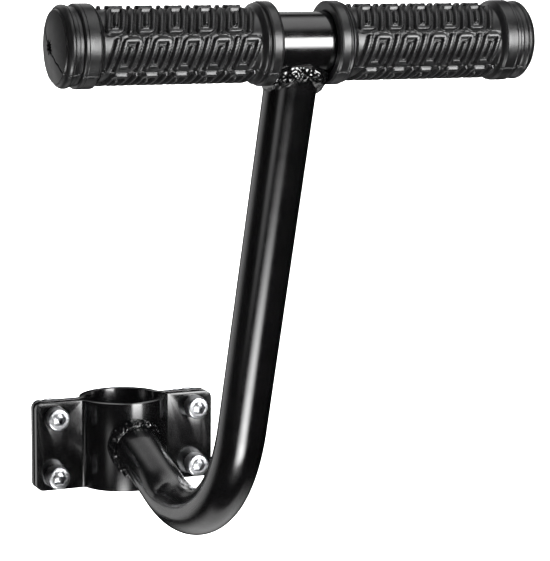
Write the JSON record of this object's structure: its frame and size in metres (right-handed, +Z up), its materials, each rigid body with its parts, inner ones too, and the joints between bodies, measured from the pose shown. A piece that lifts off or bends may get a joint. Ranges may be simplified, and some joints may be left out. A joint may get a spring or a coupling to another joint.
{
  "type": "bicycle seat post child handle",
  "caption": "T-shaped handle on a bent tube with rubber grips, welded to a two-plate clamp that bolts round a bicycle's seat post.",
  "frame": {"origin": "on the seat post's axis at mid height of the clamp plates", "axes": "+Z up along the seat post, +X along the crossbar to the right grip, -Y to the rear of the bicycle, where the crossbar is"},
  "size_m": [0.1828, 0.2185, 0.2204],
  "materials": {
    "black_paint": "gloss",
    "weld_paint": "gloss",
    "grip_rubber": "matte",
    "zinc_plate": "satin"
  },
  "bodies": {
    "root": {"crossbar_tube": "black_paint", "stem_tube": "black_paint", "bar_weld": "weld_paint", "plate_weld": "weld_paint", "rear_clamp_plate": "black_paint", "front_clamp_plate": "black_paint", "left_grip": "grip_rubber", "right_grip": "grip_rubber", "clamp_screw_1": "zinc_plate", "clamp_screw_2": "zinc_plate", "clamp_screw_3": "zinc_plate", "clamp_screw_4": "zinc_plate", "flange_nut_1": "zinc_plate", "flange_nut_2": "zinc_plate", "flange_nut_3": "zinc_plate", "flange_nut_4": "zinc_plate"}
  },
  "joints": []
}
